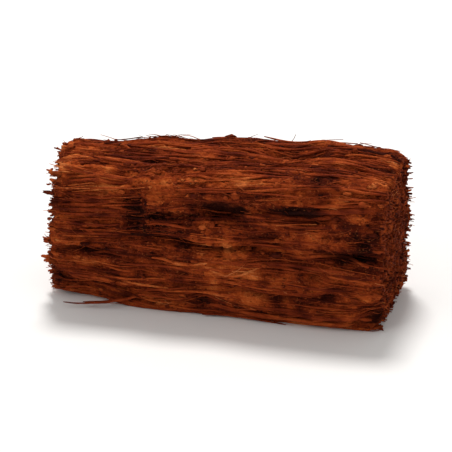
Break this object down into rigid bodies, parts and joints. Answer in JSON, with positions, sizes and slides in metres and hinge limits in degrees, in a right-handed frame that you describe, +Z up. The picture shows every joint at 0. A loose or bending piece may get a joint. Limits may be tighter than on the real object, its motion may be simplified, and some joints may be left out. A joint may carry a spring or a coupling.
{
  "type": "coconut husk chip",
  "caption": "Chip of dried coconut husk: a block of brown fibre and pith, cut across the grain at both ends and torn along its sides, with loose fibre ends.",
  "frame": {"origin": "bottom centre of the box round the chip, on the surface that it lies on", "axes": "+X along the grain, towards the taller cut end; +Y from the front torn side to the back one; +Z up"},
  "size_m": [0.0228, 0.0086, 0.0103],
  "materials": {
    "husk": "dry, rough, reddish-brown fibre and pith"
  },
  "bodies": {
    "root": {"husk_chip": "husk"}
  },
  "joints": []
}
